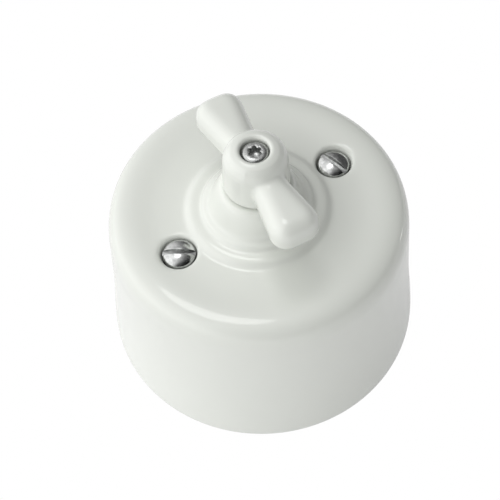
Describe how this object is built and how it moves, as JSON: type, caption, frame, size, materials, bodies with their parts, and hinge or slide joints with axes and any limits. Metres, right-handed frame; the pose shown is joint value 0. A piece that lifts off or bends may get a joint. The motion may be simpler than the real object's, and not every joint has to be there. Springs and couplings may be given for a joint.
{
  "type": "porcelain rotary switch",
  "caption": "Round surface-mounted porcelain light switch with a waisted cover, slotted cover screws and a two-winged knob that turns in quarter-turn clicks.",
  "frame": {"origin": "middle of the flat back of the base, on the wall face and on the spindle's axis", "axes": "+Z out of the wall along the spindle, X through the two cover screws, Y along the knob's wings at rest"},
  "size_m": [0.076, 0.076, 0.0654],
  "materials": {
    "porcelain": "gloss",
    "plated_steel": "bright plated, lightly worn",
    "dark_steel": "dull, darkened",
    "zinc_steel": "zinc plated",
    "plain_steel": "machined",
    "spring_steel": "blued",
    "brass": "machined",
    "bronze": "rolled strip",
    "fibre": "matt",
    "steatite": "unglazed"
  },
  "bodies": {
    "switch_body": {"base": "porcelain", "cover": "porcelain", "cover_screws": "plated_steel", "cover_screw_washers": "fibre", "cover_post_1": "brass", "cover_post_2": "brass", "post_screws": "zinc_steel", "bearing_bridge": "zinc_steel", "bridge_screws": "zinc_steel", "bridge_nuts": "zinc_steel", "bearing_bush": "brass", "lower_bearing": "brass", "detent_spring_right": "spring_steel", "detent_spring_left": "spring_steel", "terminal_screws": "zinc_steel", "finger_screws": "zinc_steel", "block_screws": "zinc_steel", "terminal_block_1": "brass", "contact_finger_1": "bronze", "terminal_block_2": "brass", "contact_finger_2": "bronze", "terminal_block_3": "brass", "contact_finger_3": "bronze", "terminal_block_4": "brass", "contact_finger_4": "bronze"},
    "rotor": {"knob": "porcelain", "knob_screw": "dark_steel", "spindle": "plain_steel", "contact_drum": "steatite", "contact_segment_1": "brass", "contact_segment_2": "brass", "detent_cam": "plain_steel", "thrust_washer": "plain_steel", "retaining_ring": "spring_steel"}
  },
  "joints": [
    {"name": "knob_turn", "type": "hinge", "parent": "switch_body", "child": "rotor", "pos_m": [0, 0, 0.03], "axis": [0, 0, 1], "continuous": true, "deforming": ["detent_spring_right", "detent_spring_left"]}
  ]
}
